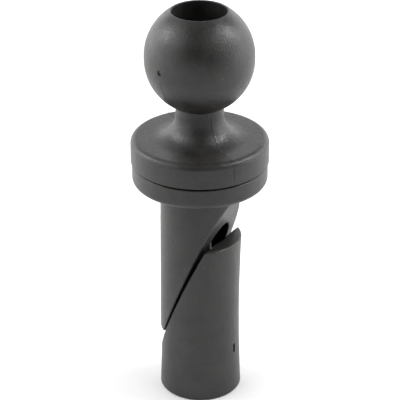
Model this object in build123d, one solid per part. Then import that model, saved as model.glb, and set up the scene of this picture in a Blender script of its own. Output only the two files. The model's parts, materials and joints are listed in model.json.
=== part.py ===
from build123d import *
from math import atan, cos, degrees, radians, sin, sqrt, tan
import os

# Accessory-mount ball on an expanding wedge post, for a tube or stake socket.
# Frame: millimetres, +Z up. The origin is the centre of the wedge's foot, on the axis that the
# ball, the post and the draw bolt share. The ramp between post and wedge faces +X, so the wedge
# moves up and out towards +X as the bolt is tightened.

# ---- ball mount: ball, neck and collar in one moulding
BALL_RADIUS = 19.05
BALL_CENTRE_Z = 129.4
BALL_LAND = 1.1
POCKET_RADIUS = 9.6
POCKET_FLOOR_Z = 117.0
NECK_RADIUS = 8.4
NECK_FLARE_RADIUS = 8.7
COLLAR_RADIUS = 24.2
COLLAR_TOP_Z = 99.7
COLLAR_EDGE_RADIUS = 2.2
CRISP_EDGE = 0.3

# ---- seam between collar and flange
SEAM_Z = 90.2
SEAM_GAP = 0.7
SEAM_DEPTH = 2.0
SPIGOT_FLATS = 18.0
SPIGOT_HEIGHT = 3.0
SPIGOT_PLAY = 0.1

# ---- stem: flange and slant-cut hollow post in one moulding
FLANGE_RADIUS = 23.8
FLANGE_THICKNESS = 7.6
FLANGE_EDGE_RADIUS = 2.2
POST_TOP_RADIUS = 14.0
POST_TIP_RADIUS = 14.5
POST_TIP_Z = 23.4
POST_TIP_EDGE = 1.4
POST_BORE_RADIUS = 9.4
POST_BORE_OFFSET = 1.1
POST_BORE_TOP_Z = 80.0
RAMP_ANGLE = 22.8
RAMP_AXIS_Z = 44.5
RAMP_EDGE_BREAK = 0.4

# ---- wedge: the lower, sliding half of the post
WEDGE_FOOT_RADIUS = 14.75
WEDGE_WAIST_RADIUS = 14.1
WEDGE_WAIST_Z = 24.0
WEDGE_TIP_RADIUS = 14.8
WEDGE_TIP_Z = 61.3
WEDGE_TIP_EDGE = 0.6
WEDGE_FOOT_EDGE = 0.8
WEDGE_RAMP_ANGLE = 24.8
WEDGE_RAMP_AXIS_Z = 42.05
WEDGE_BORE_RADIUS = 9.6
WEDGE_BORE_FLOOR_Z = 22.0
LEDGE_BOTTOM_Z = 14.0

# ---- marks left by the mould: a round gate on the ball, an oblong one on the wedge
GATE_DEPTH = 0.45
BALL_GATE_RADIUS = 1.0
BALL_GATE_AZIMUTH = -104.0
BALL_GATE_Z = 129.0
WEDGE_GATE_WIDTH = 1.3
WEDGE_GATE_HEIGHT = 3.8
WEDGE_GATE_Z = 18.0

# ---- hardware: 5/16-18 hex bolt, plain washer, insert lock nut and its backing plate
BOLT_RADIUS = 3.95
BOLT_CLEARANCE = 0.45
BOLT_END_Z = 2.6
THREAD_PITCH = 1.411
TIGHTENING_TURNS = 6
HEX_FLATS = 12.7
HEAD_HEIGHT = 5.4
CORNER_CHAMFER_HEIGHT = 0.5
CORNER_CHAMFER_WIDTH = 0.9
BOLT_END_CHAMFER = 0.7
WASHER_RADIUS = 8.7
WASHER_BORE_RADIUS = 4.3
WASHER_THICKNESS = 1.6
RUNNING_GAP = 0.03
THREAD_GAP = 0.05
NUT_HEIGHT = 6.4
INSERT_HEIGHT = 2.3
INSERT_RADIUS = 5.4
PLATE_THICKNESS = 1.6
PLATE_LENGTH = 14.0
NUT_END_PLAY = 0.3
NUT_SIDE_PLAY = 0.2

# ---- not a size of the part: a cutting block larger than any piece, and the cosine within which
# ---- two directions count as the same
CUTTER_SIZE = 200.0
SAME_DIRECTION = 0.999


def wedge_shift():
    """Sideways travel of the wedge, along its ramp, over the whole tightening."""
    return TIGHTENING_TURNS * THREAD_PITCH * tan(radians(WEDGE_RAMP_ANGLE))


def cylinder_up(radius, bottom, top):
    """Solid cylinder on the axis between two heights."""
    return Pos(0, 0, bottom) * extrude(Circle(radius), top - bottom)


def block(x_range, width, z_range):
    """Solid block, centred on the XZ plane."""
    length = x_range[1] - x_range[0]
    height = z_range[1] - z_range[0]
    middle = (x_range[0] + x_range[1]) / 2
    return Pos(middle, 0, z_range[0] + height / 2) * Box(length, width, height)


def hex_prism(flats, bottom, top):
    """Solid hexagonal prism along Z, flats facing +Y and -Y."""
    outline = RegularPolygon(flats / 2, 6, major_radius=False)
    return Pos(0, 0, bottom) * extrude(outline, top - bottom)


def ramp_half_space(axis_z, angle, side):
    """Large block on one side (+1 or -1 along X) of a plane that leans over towards +X."""
    block_centre = Pos(side * CUTTER_SIZE / 2, 0, 0)
    return Pos(0, 0, axis_z) * Rot(0, angle, 0) * block_centre * Box(CUTTER_SIZE, CUTTER_SIZE, CUTTER_SIZE)


def revolved(outline):
    """Solid of revolution about Z from a closed outline drawn in the XZ plane."""
    return revolve(make_face(outline), Axis.Z)


def xz(radius, height):
    """Point of a turned profile."""
    return (radius, 0, height)


def arc_point(centre, radius, angle):
    """Point on a profile arc, angle in degrees from the outward direction."""
    return xz(centre[0] + radius * cos(radians(angle)), centre[1] + radius * sin(radians(angle)))


def build_ball_mount():
    """Ball, neck and collar, with the wrench pocket, the hex spigot and the bolt's hole."""
    upper_centre_z = BALL_CENTRE_Z + BALL_LAND / 2
    lower_centre_z = BALL_CENTRE_Z - BALL_LAND / 2
    rim_angle = degrees(atan(sqrt(BALL_RADIUS**2 - POCKET_RADIUS**2) / POCKET_RADIUS))
    neck_angle = -degrees(atan(sqrt(BALL_RADIUS**2 - NECK_RADIUS**2) / NECK_RADIUS))
    upper = (0, upper_centre_z)
    lower = (0, lower_centre_z)
    flare = (NECK_RADIUS + NECK_FLARE_RADIUS, COLLAR_TOP_Z + NECK_FLARE_RADIUS)
    edge = (COLLAR_RADIUS - COLLAR_EDGE_RADIUS, COLLAR_TOP_Z - COLLAR_EDGE_RADIUS)
    seat_radius = COLLAR_RADIUS - SEAM_DEPTH
    rim = arc_point(upper, BALL_RADIUS, rim_angle)
    neck_top = arc_point(lower, BALL_RADIUS, neck_angle)

    outline = Polyline(
        xz(POCKET_RADIUS, rim[2]),
        xz(POCKET_RADIUS, POCKET_FLOOR_Z),
        xz(0, POCKET_FLOOR_Z),
        xz(0, SEAM_Z),
        xz(seat_radius, SEAM_Z),
        xz(seat_radius, SEAM_Z + SEAM_GAP),
        xz(COLLAR_RADIUS, SEAM_Z + SEAM_GAP),
        arc_point(edge, COLLAR_EDGE_RADIUS, 0),
    )
    outline += ThreePointArc(
        arc_point(edge, COLLAR_EDGE_RADIUS, 0),
        arc_point(edge, COLLAR_EDGE_RADIUS, 45),
        arc_point(edge, COLLAR_EDGE_RADIUS, 90),
    )
    outline += Line(arc_point(edge, COLLAR_EDGE_RADIUS, 90), arc_point(flare, NECK_FLARE_RADIUS, -90))
    outline += ThreePointArc(
        arc_point(flare, NECK_FLARE_RADIUS, -90),
        arc_point(flare, NECK_FLARE_RADIUS, -135),
        arc_point(flare, NECK_FLARE_RADIUS, 180),
    )
    outline += Line(arc_point(flare, NECK_FLARE_RADIUS, 180), neck_top)
    outline += ThreePointArc(
        neck_top,
        arc_point(lower, BALL_RADIUS, neck_angle / 2),
        arc_point(lower, BALL_RADIUS, 0),
    )
    outline += Line(arc_point(lower, BALL_RADIUS, 0), arc_point(upper, BALL_RADIUS, 0))
    outline += ThreePointArc(
        arc_point(upper, BALL_RADIUS, 0),
        arc_point(upper, BALL_RADIUS, rim_angle / 2),
        rim,
    )
    body = revolved(outline)
    body = fillet(body.edges().filter_by(GeomType.CIRCLE).group_by(Axis.Z)[-1], CRISP_EDGE)
    body += hex_prism(SPIGOT_FLATS, SEAM_Z - SPIGOT_HEIGHT, SEAM_Z)
    body -= cylinder_up(BOLT_RADIUS + BOLT_CLEARANCE, SEAM_Z - SPIGOT_HEIGHT, POCKET_FLOOR_Z)
    gate_face = Rot(0, 0, BALL_GATE_AZIMUTH) * Pos(BALL_RADIUS, 0, BALL_GATE_Z) * Rot(0, 90, 0)
    body -= gate_face * extrude(Circle(BALL_GATE_RADIUS), GATE_DEPTH, both=True)
    return body


def ramp_rims(body, angle, side):
    """Edges of the sloping face that an inclined cut has left, its normal towards side."""
    normal = Vector(side * cos(radians(angle)), 0, -side * sin(radians(angle)))
    faces = body.faces().filter_by(lambda face: face.normal_at().dot(normal) > SAME_DIRECTION)
    return faces.sort_by(SortBy.AREA)[-1].edges()


def build_stem():
    """Flange and hollow post, cut off by the ramp, with the hex socket for the spigot."""
    flange_bottom = SEAM_Z - FLANGE_THICKNESS
    flange = cylinder_up(FLANGE_RADIUS, flange_bottom, SEAM_Z)
    flange = fillet(flange.edges().group_by(Axis.Z)[0], FLANGE_EDGE_RADIUS)
    flange = fillet(flange.edges().group_by(Axis.Z)[-1], CRISP_EDGE)
    post = Pos(0, 0, (POST_TIP_Z + flange_bottom) / 2) * Cone(
        POST_TIP_RADIUS, POST_TOP_RADIUS, flange_bottom - POST_TIP_Z
    )
    post = fillet(post.edges().group_by(Axis.Z)[0], POST_TIP_EDGE)
    post -= ramp_half_space(RAMP_AXIS_Z, RAMP_ANGLE, 1)
    post -= Pos(0, POST_BORE_OFFSET, 0) * cylinder_up(POST_BORE_RADIUS, POST_TIP_Z, POST_BORE_TOP_Z)
    post = chamfer(ramp_rims(post, RAMP_ANGLE, 1), RAMP_EDGE_BREAK)
    stem = flange + post
    stem -= hex_prism(SPIGOT_FLATS + 2 * SPIGOT_PLAY, SEAM_Z - SPIGOT_HEIGHT - SPIGOT_PLAY, SEAM_Z)
    stem -= cylinder_up(BOLT_RADIUS + BOLT_CLEARANCE, POST_BORE_TOP_Z, SEAM_Z)
    return stem


def build_wedge():
    """Waisted lower half of the post, with the bolt's slot and the nut's pocket in its foot."""
    outline = Polyline(
        xz(WEDGE_TIP_RADIUS, WEDGE_TIP_Z),
        xz(0, WEDGE_TIP_Z),
        xz(0, 0),
        xz(WEDGE_FOOT_RADIUS, 0),
    )
    outline += ThreePointArc(
        xz(WEDGE_FOOT_RADIUS, 0),
        xz(WEDGE_WAIST_RADIUS, WEDGE_WAIST_Z),
        xz(WEDGE_TIP_RADIUS, WEDGE_TIP_Z),
    )
    wedge = revolved(outline)
    wedge = fillet(wedge.edges().group_by(Axis.Z)[0], WEDGE_FOOT_EDGE)
    wedge = fillet(wedge.edges().group_by(Axis.Z)[-1], WEDGE_TIP_EDGE)
    wedge -= ramp_half_space(WEDGE_RAMP_AXIS_Z, WEDGE_RAMP_ANGLE, -1)
    wedge -= cylinder_up(WEDGE_BORE_RADIUS, WEDGE_BORE_FLOOR_Z, WEDGE_TIP_Z)
    wedge = chamfer(ramp_rims(wedge, WEDGE_RAMP_ANGLE, -1), RAMP_EDGE_BREAK)

    bolt_room = BOLT_RADIUS + BOLT_CLEARANCE
    slot_length = 2 * bolt_room + wedge_shift()
    slot = Pos(-wedge_shift() / 2, 0) * SlotOverall(slot_length, 2 * bolt_room)
    wedge -= Pos(0, 0, LEDGE_BOTTOM_Z) * extrude(slot, WEDGE_BORE_FLOOR_Z - LEDGE_BOTTOM_Z)
    nut_reach = HEX_FLATS / sqrt(3) + NUT_END_PLAY
    pocket_width = HEX_FLATS + 2 * NUT_SIDE_PLAY
    wedge -= block((-nut_reach - wedge_shift(), nut_reach), pocket_width, (0, LEDGE_BOTTOM_Z))

    gate_face = Plane((WEDGE_FOOT_RADIUS, 0, WEDGE_GATE_Z), x_dir=(0, 1, 0), z_dir=(1, 0, 0))
    gate = gate_face * SlotOverall(WEDGE_GATE_HEIGHT, WEDGE_GATE_WIDTH, rotation=90)
    gate_reach = WEDGE_FOOT_RADIUS - WEDGE_WAIST_RADIUS + GATE_DEPTH
    wedge -= extrude(gate, -gate_reach)
    return wedge


def turned_corners(bottom, top, ends):
    """Cylinder round a hexagon, chamfered at the chosen ends, that takes the hexagon's corners off."""
    turned = cylinder_up(HEX_FLATS / sqrt(3), bottom, top)
    for end in ends:
        rim = turned.edges().filter_by(GeomType.CIRCLE).group_by(Axis.Z)[end]
        turned = chamfer(rim, CORNER_CHAMFER_HEIGHT, CORNER_CHAMFER_WIDTH)
    return turned


def build_draw_bolt():
    """Hex-head bolt, head in the ball's pocket."""
    head_bottom = POCKET_FLOOR_Z + WASHER_THICKNESS + RUNNING_GAP
    head_top = head_bottom + HEAD_HEIGHT
    head = hex_prism(HEX_FLATS, head_bottom, head_top) & turned_corners(head_bottom, head_top, [-1])
    shank = cylinder_up(BOLT_RADIUS, BOLT_END_Z, head_bottom)
    shank = chamfer(shank.edges().group_by(Axis.Z)[0], BOLT_END_CHAMFER)
    return head + shank


def build_head_washer():
    """Plain washer on the pocket's floor."""
    washer = cylinder_up(WASHER_RADIUS, POCKET_FLOOR_Z, POCKET_FLOOR_Z + WASHER_THICKNESS)
    washer -= cylinder_up(WASHER_BORE_RADIUS, POCKET_FLOOR_Z, POCKET_FLOOR_Z + WASHER_THICKNESS)
    return washer


def nut_levels():
    """Heights of the plate's top, the nut's top, the insert's top and the nut's bottom."""
    plate_top = LEDGE_BOTTOM_Z - RUNNING_GAP
    nut_top = plate_top - PLATE_THICKNESS
    nut_bottom = nut_top - NUT_HEIGHT - INSERT_HEIGHT
    return plate_top, nut_top, nut_bottom + INSERT_HEIGHT, nut_bottom


def build_backing_plate():
    """Plate between the nut and the wedge's ledge."""
    plate_top, nut_top, _, _ = nut_levels()
    plate = block((-PLATE_LENGTH / 2, PLATE_LENGTH / 2), HEX_FLATS, (nut_top, plate_top))
    plate -= cylinder_up(WASHER_BORE_RADIUS, nut_top, plate_top)
    return plate


def build_lock_nut():
    """Hex nut with the round collar that holds its insert."""
    _, nut_top, insert_top, nut_bottom = nut_levels()
    nut = hex_prism(HEX_FLATS, insert_top, nut_top) & turned_corners(insert_top, nut_top, [0, -1])
    nut += cylinder_up(HEX_FLATS / 2, nut_bottom, insert_top)
    nut -= cylinder_up(BOLT_RADIUS + THREAD_GAP, insert_top, nut_top)
    nut -= cylinder_up(INSERT_RADIUS, nut_bottom, insert_top)
    return nut


def build_nut_insert():
    """Locking ring in the nut's collar."""
    _, _, insert_top, nut_bottom = nut_levels()
    ring = cylinder_up(INSERT_RADIUS, nut_bottom, insert_top)
    ring -= cylinder_up(BOLT_RADIUS + THREAD_GAP, nut_bottom, insert_top)
    return ring


PARTS = {
    "ball_mount": build_ball_mount,
    "stem": build_stem,
    "wedge": build_wedge,
    "draw_bolt": build_draw_bolt,
    "head_washer": build_head_washer,
    "lock_nut": build_lock_nut,
    "nut_insert": build_nut_insert,
    "backing_plate": build_backing_plate,
}

os.makedirs("parts", exist_ok=True)
for name, build in PARTS.items():
    export_step(build(), f"parts/{name}.step")
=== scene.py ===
import json
import math
import random

import bmesh
import bpy
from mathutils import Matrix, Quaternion, Vector
from mathutils.bvhtree import BVHTree


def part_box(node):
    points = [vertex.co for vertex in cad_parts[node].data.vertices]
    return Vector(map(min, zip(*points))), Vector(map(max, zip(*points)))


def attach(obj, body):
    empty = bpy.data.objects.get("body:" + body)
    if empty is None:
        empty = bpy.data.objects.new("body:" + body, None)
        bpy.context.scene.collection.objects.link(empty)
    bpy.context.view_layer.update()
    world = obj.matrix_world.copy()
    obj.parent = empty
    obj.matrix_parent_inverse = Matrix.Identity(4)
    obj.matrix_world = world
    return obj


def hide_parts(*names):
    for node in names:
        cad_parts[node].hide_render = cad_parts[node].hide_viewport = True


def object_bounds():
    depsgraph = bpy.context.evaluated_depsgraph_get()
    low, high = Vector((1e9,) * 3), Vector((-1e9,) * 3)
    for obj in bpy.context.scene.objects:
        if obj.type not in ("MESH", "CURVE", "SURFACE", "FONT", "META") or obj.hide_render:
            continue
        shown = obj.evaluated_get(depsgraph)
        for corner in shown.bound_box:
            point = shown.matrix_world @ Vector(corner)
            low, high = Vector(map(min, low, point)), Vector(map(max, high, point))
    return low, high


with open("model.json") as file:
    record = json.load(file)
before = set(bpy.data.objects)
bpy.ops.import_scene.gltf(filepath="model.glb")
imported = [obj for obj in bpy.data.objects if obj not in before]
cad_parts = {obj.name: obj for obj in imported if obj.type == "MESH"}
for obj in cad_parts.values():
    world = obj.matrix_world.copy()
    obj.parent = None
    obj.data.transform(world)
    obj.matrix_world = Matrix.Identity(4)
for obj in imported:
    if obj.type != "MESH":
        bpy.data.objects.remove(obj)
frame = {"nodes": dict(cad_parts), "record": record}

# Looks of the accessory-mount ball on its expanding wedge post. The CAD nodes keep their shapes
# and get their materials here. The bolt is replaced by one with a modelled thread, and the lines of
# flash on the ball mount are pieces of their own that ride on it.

CAD_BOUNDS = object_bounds()
MM = 0.001

# ---- camera
VIEW_AZIMUTH = 30.7
VIEW_ELEVATION = 27.1
VIEW_ROLL = -0.2
FOCAL_LENGTH_MM = 166.5
SENSOR_WIDTH_MM = 36.0
BALL_DEPTH = 0.6290
BALL_ABOVE_AXIS = 0.04871
CLIP_NEAR = 0.01
CLIP_FAR = 20.0

# ---- bolt thread
THREAD_PITCH = 1.411 * MM
THREAD_DEPTH = 0.62 * MM
THREAD_LENGTH = 44 * MM
THREAD_SEGMENTS = 48
THREAD_LEVELS_PER_TURN = 8
THREAD_CREST = 0.08
THREAD_FLANKS = 0.80
THREAD_RUN_OUT_TURNS = 2.0

# ---- mould marks
PARTING_AZIMUTH = -30.0
GATE_AZIMUTH = -104.0
RIDGE_STEP = 0.35 * MM
RIDGE_WIDTH = 0.36 * MM
RIDGE_HEIGHT = 0.13 * MM
RIDGE_SINK = 0.02 * MM
RIDGE_CREST = 0.12
RIDGE_DRIFT = 0.10
RIDGE_TAPER_STEPS = 6
RIDGE_END_HEIGHT = 0.05
RIDGE_SHORTEST_SIDE = 1e-9
BALL_LINE_SHARE = 0.6


def mount_position(name):
    for mount in frame["record"]["mounts"]:
        if mount["name"] == name:
            return Vector(mount["pos_m"])
    raise SystemExit(f"no mount {name}")


BALL_CENTRE = mount_position("ball")


def view_axes():
    """Up and back vectors of the camera."""
    azimuth = math.radians(VIEW_AZIMUTH)
    elevation = math.radians(VIEW_ELEVATION)
    back = Vector((
        math.sin(azimuth) * math.cos(elevation),
        -math.cos(azimuth) * math.cos(elevation),
        math.sin(elevation),
    ))
    right = Vector((math.cos(azimuth), math.sin(azimuth), 0.0))
    return back.cross(right), back


def add_camera():
    up, back = view_axes()
    data = bpy.data.cameras.new("camera")
    data.lens = FOCAL_LENGTH_MM
    data.sensor_width = SENSOR_WIDTH_MM
    data.clip_start = CLIP_NEAR
    data.clip_end = CLIP_FAR
    camera = bpy.data.objects.new("camera", data)
    bpy.context.collection.objects.link(camera)
    camera.location = BALL_CENTRE + back * BALL_DEPTH - up * BALL_ABOVE_AXIS
    camera.rotation_mode = "QUATERNION"
    roll = Quaternion((0.0, 0.0, 1.0), math.radians(VIEW_ROLL))
    camera.rotation_quaternion = (-back).to_track_quat("-Z", "Y") @ roll
    bpy.context.scene.camera = camera


# ---------------------------------------------------------------- materials

class Graph:
    """A material's node tree, with short calls for the nodes that the materials here need."""

    def __init__(self, name):
        self.material = bpy.data.materials.new(name)
        self.material.use_nodes = True
        self.tree = self.material.node_tree
        self.shader = self.tree.nodes["Principled BSDF"]
        self.place = self.node("ShaderNodeTexCoord").outputs["Object"]

    def node(self, kind, **settings):
        made = self.tree.nodes.new(kind)
        for key, value in settings.items():
            setattr(made, key, value)
        return made

    def put(self, socket, value):
        """Links a socket to value, or sets it if value is a plain number or colour."""
        if isinstance(value, bpy.types.NodeSocket):
            self.tree.links.new(value, socket)
        else:
            socket.default_value = value

    def moved(self, stretch=(1.0, 1.0, 1.0), offset=(0.0, 0.0, 0.0), turn=(0.0, 0.0, 0.0)):
        mapping = self.node("ShaderNodeMapping")
        self.put(mapping.inputs["Vector"], self.place)
        self.put(mapping.inputs["Scale"], stretch)
        self.put(mapping.inputs["Location"], offset)
        self.put(mapping.inputs["Rotation"], turn)
        return mapping.outputs["Vector"]

    def noise(self, size, detail=2.0, roughness=0.5, distortion=0.0, place=None):
        """Noise, 0 to 1, whose features are about size metres."""
        noise = self.node("ShaderNodeTexNoise")
        self.put(noise.inputs["Vector"], self.place if place is None else place)
        self.put(noise.inputs["Scale"], 1.0 / size)
        self.put(noise.inputs["Detail"], detail)
        self.put(noise.inputs["Roughness"], roughness)
        self.put(noise.inputs["Distortion"], distortion)
        return noise.outputs["Fac"]

    def cells(self, size, output="Distance", place=None):
        voronoi = self.node("ShaderNodeTexVoronoi")
        self.put(voronoi.inputs["Vector"], self.place if place is None else place)
        self.put(voronoi.inputs["Scale"], 1.0 / size)
        return voronoi.outputs[output]

    def range(self, value, low, high, to_low=0.0, to_high=1.0):
        """value from low to high carried to to_low to to_high, and held there."""
        remap = self.node("ShaderNodeMapRange", clamp=True)
        self.put(remap.inputs["Value"], value)
        self.put(remap.inputs["From Min"], low)
        self.put(remap.inputs["From Max"], high)
        self.put(remap.inputs["To Min"], to_low)
        self.put(remap.inputs["To Max"], to_high)
        return remap.outputs["Result"]

    def math(self, operation, a, b=0.0):
        calculation = self.node("ShaderNodeMath", operation=operation)
        self.put(calculation.inputs[0], a)
        self.put(calculation.inputs[1], b)
        return calculation.outputs[0]

    def mix(self, factor, a, b):
        """Colour a where factor is 0, b where it is 1."""
        mix = self.node("ShaderNodeMix", data_type="RGBA")
        factor_socket, *_ = (s for s in mix.inputs if s.enabled and s.name == "Factor")
        a_socket, *_ = (s for s in mix.inputs if s.enabled and s.name == "A")
        b_socket, *_ = (s for s in mix.inputs if s.enabled and s.name == "B")
        self.put(factor_socket, factor)
        self.put(a_socket, a)
        self.put(b_socket, b)
        return next(s for s in mix.outputs if s.enabled)

    def rounded(self, radius):
        """The normal, turned over edges as if they were rounded by radius."""
        bevel = self.node("ShaderNodeBevel", samples=4)
        self.put(bevel.inputs["Radius"], radius)
        return bevel.outputs["Normal"]

    def edges(self, radius):
        """1 on edges and corners within about radius, 0 on open faces."""
        geometry = self.node("ShaderNodeNewGeometry")
        dot = self.node("ShaderNodeVectorMath", operation="DOT_PRODUCT")
        self.put(dot.inputs[0], self.rounded(radius))
        self.put(dot.inputs[1], geometry.outputs["Normal"])
        return self.range(dot.outputs["Value"], 0.995, 0.90)

    def bump(self, height, distance, below=None):
        bump = self.node("ShaderNodeBump")
        self.put(bump.inputs["Strength"], 1.0)
        self.put(bump.inputs["Distance"], distance)
        self.put(bump.inputs["Height"], height)
        if below is not None:
            self.put(bump.inputs["Normal"], below)
        return bump.outputs["Normal"]

    def finish(self, **values):
        for name, value in values.items():
            self.put(self.shader.inputs[name.replace("_", " ").title().replace("Ior", "IOR")], value)
        return self.material


NYLON_DARK = (0.0105, 0.0098, 0.0092, 1.0)
NYLON_LIGHT = (0.0190, 0.0178, 0.0169, 1.0)
NYLON_SCUFF = (0.070, 0.067, 0.064, 1.0)
NYLON_SPECK = (0.30, 0.29, 0.27, 1.0)


def moulded_nylon(name, offset):
    """Black glass-filled nylon: fine satin grain, cloudy gloss, streaks of flow, scuffed edges, lint."""
    graph = Graph(name)
    place = graph.moved(offset=offset)
    cloud = graph.noise(7 * MM, detail=3.0, place=place)
    patch = graph.noise(1.6 * MM, detail=2.0, place=place)
    streak_place = graph.moved(stretch=(1.0, 1.0, 0.14), offset=offset)
    streak = graph.noise(1.3 * MM, detail=2.0, distortion=0.4, place=streak_place)
    grain = graph.noise(0.80 * MM, detail=3.0, roughness=0.75, place=place)
    fine = graph.noise(0.16 * MM, detail=2.0, roughness=0.6, place=place)

    colour = graph.mix(graph.range(cloud, 0.35, 0.65), NYLON_DARK, NYLON_LIGHT)
    scuffed = graph.math("MULTIPLY", graph.edges(0.35 * MM), graph.range(patch, 0.40, 0.72, 0.15, 1.0))
    colour = graph.mix(graph.math("MULTIPLY", scuffed, 0.5), colour, NYLON_SCUFF)
    near_centre = graph.range(graph.cells(1.3 * MM, place=place), 0.10, 0.06)
    chosen = graph.range(graph.cells(1.3 * MM, output="Color", place=place), 0.80, 0.84)
    speck = graph.math("MULTIPLY", near_centre, chosen)
    colour = graph.mix(graph.math("MULTIPLY", speck, 0.6), colour, NYLON_SPECK)

    gloss = graph.range(cloud, 0.3, 0.7, 0.39, 0.45)
    gloss = graph.math("ADD", gloss, graph.range(streak, 0.3, 0.7, -0.025, 0.025))
    gloss = graph.math("ADD", gloss, graph.range(grain, 0.35, 0.65, -0.05, 0.05))
    gloss = graph.math("SUBTRACT", gloss, graph.math("MULTIPLY", scuffed, 0.06))

    normal = graph.bump(patch, 0.040 * MM, below=graph.rounded(0.35 * MM))
    normal = graph.bump(grain, 0.080 * MM, below=normal)
    normal = graph.bump(fine, 0.012 * MM, below=normal)
    return graph.finish(base_color=colour, roughness=gloss, normal=normal, ior=1.5)


ZINC_BRIGHT = (0.66, 0.67, 0.68, 1.0)
ZINC_DULL = (0.46, 0.46, 0.45, 1.0)
ZINC_STAIN = (0.30, 0.27, 0.22, 1.0)


def zinc_plate(name, offset):
    """Zinc-plated steel: brushed by tumbling, a little cloudy, dull at worn edges."""
    graph = Graph(name)
    place = graph.moved(offset=offset)
    cloud = graph.noise(2.4 * MM, detail=3.0, place=place)
    scratch_place = graph.moved(stretch=(1.0, 0.12, 1.0), offset=offset, turn=(0.4, 0.2, 0.7))
    scratch = graph.noise(0.22 * MM, detail=2.0, place=scratch_place)
    pits = graph.noise(0.16 * MM, detail=2.0, place=place)
    colour = graph.mix(graph.range(cloud, 0.35, 0.65), ZINC_BRIGHT, ZINC_DULL)
    worn = graph.math("MULTIPLY", graph.edges(0.25 * MM), graph.range(cloud, 0.35, 0.6))
    colour = graph.mix(graph.math("MULTIPLY", worn, 0.55), colour, ZINC_STAIN)
    gloss = graph.range(scratch, 0.3, 0.7, 0.24, 0.40)
    gloss = graph.math("ADD", gloss, graph.range(cloud, 0.3, 0.7, -0.04, 0.06))
    normal = graph.bump(scratch, 0.004 * MM)
    normal = graph.bump(pits, 0.003 * MM, below=normal)
    return graph.finish(base_color=colour, metallic=1.0, roughness=gloss, normal=normal)


def insert_nylon(name):
    """The lock nut's ring of natural nylon: milky, slightly yellow, softly glossy."""
    graph = Graph(name)
    cloud = graph.noise(1.5 * MM, detail=2.0)
    grain = graph.noise(0.15 * MM, detail=2.0)
    colour = graph.mix(graph.range(cloud, 0.3, 0.7), (0.72, 0.71, 0.64, 1.0), (0.60, 0.60, 0.53, 1.0))
    gloss = graph.range(grain, 0.3, 0.7, 0.32, 0.46)
    normal = graph.bump(grain, 0.005 * MM)
    return graph.finish(base_color=colour, roughness=gloss, normal=normal)


def paint(obj, material):
    obj.data.materials.clear()
    obj.data.materials.append(material)


# ---------------------------------------------------------------- pieces

def new_piece(name, mesh_data, material, body):
    piece = bpy.data.objects.new(name, mesh_data)
    bpy.context.collection.objects.link(piece)
    mesh_data.name = name
    paint(piece, material)
    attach(piece, body)
    return piece


def smooth(mesh_data, angle=35.0):
    """Smooth shading with the edges sharper than angle kept crisp."""
    mesh_data.shade_smooth()
    mesh_data.set_sharp_from_angle(angle=math.radians(angle))


def add_thread(bm, bottom, top, radius):
    """A rounded V thread round the Z axis, chamfered at its lower end, with a smooth run-out at its top."""
    levels = int((top - bottom) / THREAD_PITCH * THREAD_LEVELS_PER_TURN)
    rings = []
    for level in range(levels + 1):
        ring = []
        for step in range(THREAD_SEGMENTS):
            turn = step / THREAD_SEGMENTS
            height = bottom + (top - bottom) * level / levels
            phase = (height / THREAD_PITCH - turn) % 1.0
            groove = 1.0 - abs(2.0 * phase - 1.0)
            groove = min(1.0, max(0.0, (groove - THREAD_CREST) / THREAD_FLANKS))
            run_out = min(1.0, (top - height) / (THREAD_RUN_OUT_TURNS * THREAD_PITCH))
            lead_in = min(1.0, (height - bottom) / THREAD_PITCH)
            depth = THREAD_DEPTH * groove * run_out
            depth = max(depth, THREAD_DEPTH * (1.0 - lead_in))
            angle = math.tau * turn
            ring.append(bm.verts.new((
                (radius - depth) * math.cos(angle),
                (radius - depth) * math.sin(angle),
                height,
            )))
        rings.append(ring)
    for lower, upper in zip(rings, rings[1:]):
        for step in range(THREAD_SEGMENTS):
            following = (step + 1) % THREAD_SEGMENTS
            bm.faces.new((lower[step], lower[following], upper[following], upper[step]))
    bm.faces.new(list(reversed(rings[0])))
    return rings[-1]


def add_bolt(material):
    """The draw bolt: the CAD node's head and shank, and a real thread below them."""
    low, high = (Vector(corner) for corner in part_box("draw_bolt"))
    thread_top = low.z + THREAD_LENGTH
    bm = bmesh.new()
    bm.from_mesh(frame["nodes"]["draw_bolt"].data)
    everything = bm.verts[:] + bm.edges[:] + bm.faces[:]
    cut = bmesh.ops.bisect_plane(
        bm, geom=everything, plane_co=(0, 0, thread_top), plane_no=(0, 0, 1), clear_inner=True,
    )
    radius = max(
        math.hypot(item.co.x, item.co.y) for item in cut["geom_cut"] if isinstance(item, bmesh.types.BMVert)
    )
    add_thread(bm, low.z, thread_top, radius)
    mesh_data = bpy.data.meshes.new("bolt")
    bm.to_mesh(mesh_data)
    bm.free()
    smooth(mesh_data)
    bolt = new_piece("bolt", mesh_data, material, "bolt")
    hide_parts("draw_bolt")


def meridian(azimuth, profile):
    """Points (radius, height) in millimetres as points of the half-plane at azimuth."""
    angle = math.radians(azimuth)
    return [Vector((r * MM * math.cos(angle), r * MM * math.sin(angle), z * MM)) for r, z in profile]


def on_surface(tree, points):
    """Points every RIDGE_STEP along the line through points, each moved onto the surface, with its normal."""
    line = []
    for start, end in zip(points, points[1:]):
        count = max(1, round((end - start).length / RIDGE_STEP))
        for step in range(count):
            place, normal, _, _ = tree.find_nearest(start.lerp(end, step / count))
            line.append((place, normal))
    return line


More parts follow.
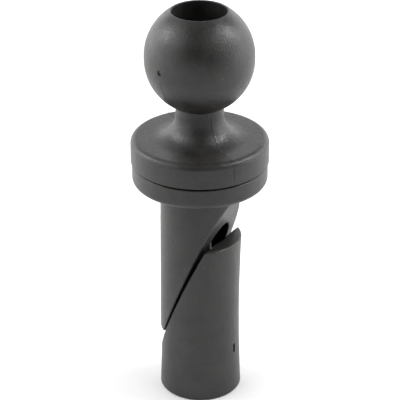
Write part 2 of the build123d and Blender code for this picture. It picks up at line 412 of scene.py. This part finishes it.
def add_ridge(name, material, points, width, height, seed):
    """A thin, slightly uneven line of flash standing on the ball mount's surface."""
    tree = BVHTree.FromObject(frame["nodes"]["ball_mount"], bpy.context.evaluated_depsgraph_get())
    line = on_surface(tree, points)
    chance = random.Random(seed)
    bm = bmesh.new()
    rows = []
    for index, (place, normal) in enumerate(line):
        before = line[max(0, index - 1)][0]
        after = line[min(len(line) - 1, index + 1)][0]
        side = (after - before).cross(normal)
        if side.length < RIDGE_SHORTEST_SIDE:
            continue
        side.normalize()
        taper = min(1.0, index / RIDGE_TAPER_STEPS, (len(line) - 1 - index) / RIDGE_TAPER_STEPS)
        uneven = 0.75 + 0.5 * chance.random()
        crest = place + normal * height * uneven * max(taper, RIDGE_END_HEIGHT)
        drift = side * width * RIDGE_DRIFT * (chance.random() - 0.5)
        sunk = normal * RIDGE_SINK
        rows.append([
            bm.verts.new(place + side * width / 2 - sunk),
            bm.verts.new(crest + drift + side * width * RIDGE_CREST),
            bm.verts.new(crest + drift - side * width * RIDGE_CREST),
            bm.verts.new(place - side * width / 2 - sunk),
        ])
    for row, following in zip(rows, rows[1:]):
        for a, b in ((0, 1), (1, 2), (2, 3), (3, 0)):
            bm.faces.new((row[a], row[b], following[b], following[a]))
    bm.faces.new(rows[0])
    bm.faces.new(list(reversed(rows[-1])))
    bmesh.ops.recalc_face_normals(bm, faces=bm.faces[:])
    mesh_data = bpy.data.meshes.new(name)
    bm.to_mesh(mesh_data)
    bm.free()
    smooth(mesh_data, angle=60.0)
    ridge = new_piece(name, mesh_data, material, "mount")


# radius and height in millimetres, outside the surface that the line is drawn on
NECK_TO_RIM = (
    (9.0, 111.0), (9.5, 107.7), (11.0, 103.0), (17.0, 100.0), (22.0, 100.0), (24.5, 98.0), (24.5, 91.4),
)
BELOW_GATE = ((20.0, 126.0), (17.5, 120.5), (13.0, 115.5), (10.0, 113.0))


def add_mould_marks(material):
    """Lines of flash where the halves of the mould met, on neck and collar and below the ball's gate."""
    for name, azimuth in (("parting_front", PARTING_AZIMUTH), ("parting_back", PARTING_AZIMUTH + 180)):
        line = meridian(azimuth, NECK_TO_RIM)
        add_ridge(name, material, line, RIDGE_WIDTH, RIDGE_HEIGHT, seed=7)
    line = meridian(GATE_AZIMUTH, BELOW_GATE)
    add_ridge("ball_line", material, line, RIDGE_WIDTH, RIDGE_HEIGHT * BALL_LINE_SHARE, seed=8)


# ---------------------------------------------------------------- studio

FLOOR_REACH = 4.0
GLOW_START = 0.45
GLOW_FULL = 0.90


def add_floor():
    """A pale floor, lit from below beyond the object, so that it stays pale into the distance."""
    bm = bmesh.new()
    bmesh.ops.create_grid(bm, x_segments=8, y_segments=8, size=FLOOR_REACH)
    mesh_data = bpy.data.meshes.new("floor")
    bm.to_mesh(mesh_data)
    bm.free()
    floor = bpy.data.objects.new("floor", mesh_data)
    bpy.context.collection.objects.link(floor)
    graph = Graph("floor")
    grain = graph.noise(60 * MM, detail=2.0)
    colour = graph.mix(grain, (0.93, 0.93, 0.93, 1.0), (0.95, 0.95, 0.95, 1.0))
    away = graph.node("ShaderNodeVectorMath", operation="LENGTH")
    graph.put(away.inputs[0], graph.place)
    glow = graph.range(away.outputs["Value"], GLOW_START, GLOW_FULL)
    graph.shader.inputs["Emission Color"].default_value = (1.0, 1.0, 1.0, 1.0)
    paint(floor, graph.finish(base_color=colour, roughness=0.9, emission_strength=glow))


# name, azimuth from the camera's, elevation, side, power
SOFT_BOXES = (
    ("left_key", -104.0, 34.0, 0.10, 1.30),
    ("left_front_key", -88.0, 40.0, 0.10, 0.70),
    ("right_key", 91.0, 44.0, 0.10, 1.90),
    ("right_low_key", 108.0, 29.0, 0.12, 0.75),
    ("left_front", -60.0, 12.0, 0.36, 0.64),
    ("left_side", -90.0, 12.0, 0.36, 0.90),
    ("left_back", -120.0, 12.0, 0.36, 1.36),
    ("left_rear", -150.0, 15.0, 0.36, 0.93),
    ("right_front", 60.0, 12.0, 0.36, 0.17),
    ("right_side", 90.0, 12.0, 0.36, 1.30),
    ("right_back", 120.0, 12.0, 0.36, 0.86),
    ("right_rear", 150.0, 15.0, 0.36, 0.99),
    ("back", 180.0, 20.0, 0.36, 0.67),
    ("left_top", -60.0, 45.0, 0.36, 0.84),
    ("right_top", 60.0, 45.0, 0.36, 0.70),
    ("left_high", -95.0, 58.0, 0.20, 0.20),
    ("right_high", 95.0, 58.0, 0.20, 0.23),
    ("left_top_back", -152.0, 52.0, 0.36, 0.56),
    ("right_top_back", 152.0, 52.0, 0.36, 0.23),
)
BOX_DISTANCE = 0.7
WORLD_STRENGTH = 0.132


def add_light(name, azimuth, elevation, side, power):
    """A soft box that looks at the middle of the object. Its azimuth is counted from the camera's."""
    low, high = (Vector(corner) for corner in CAD_BOUNDS)
    centre = (low + high) / 2
    angle = math.radians(VIEW_AZIMUTH + azimuth)
    rise = math.radians(elevation)
    away = Vector((math.sin(angle) * math.cos(rise), -math.cos(angle) * math.cos(rise), math.sin(rise)))
    data = bpy.data.lights.new(name, "AREA")
    data.shape = "SQUARE"
    data.size = side
    data.energy = power
    light = bpy.data.objects.new(name, data)
    bpy.context.collection.objects.link(light)
    light.location = centre + away * BOX_DISTANCE
    light.visible_camera = False
    light.rotation_mode = "QUATERNION"
    light.rotation_quaternion = away.to_track_quat("Z", "Y")


def add_world():
    world = bpy.data.worlds.new("studio")
    world.use_nodes = True
    background = world.node_tree.nodes["Background"]
    background.inputs["Color"].default_value = (1.0, 1.0, 1.0, 1.0)
    background.inputs["Strength"].default_value = WORLD_STRENGTH
    bpy.context.scene.world = world


add_camera()
ball_nylon = moulded_nylon("ball_nylon", (0.013, 0.007, 0.0))
stem_nylon = moulded_nylon("stem_nylon", (0.051, 0.023, 0.004))
wedge_nylon = moulded_nylon("wedge_nylon", (0.017, 0.091, 0.012))
bolt_zinc = zinc_plate("bolt_zinc", (0.0, 0.0, 0.0))
nut_zinc = zinc_plate("nut_zinc", (0.031, 0.0, 0.005))
for node, material in (
    ("ball_mount", ball_nylon),
    ("stem", stem_nylon),
    ("wedge", wedge_nylon),
    ("draw_bolt", bolt_zinc),
    ("head_washer", nut_zinc),
    ("lock_nut", nut_zinc),
    ("backing_plate", bolt_zinc),
    ("nut_insert", insert_nylon("insert_nylon")),
):
    paint(frame["nodes"][node], material)
add_bolt(bolt_zinc)
add_mould_marks(ball_nylon)
add_floor()
add_world()
for box in SOFT_BOXES:
    add_light(*box)
bpy.context.scene.view_settings.view_transform = "Standard"
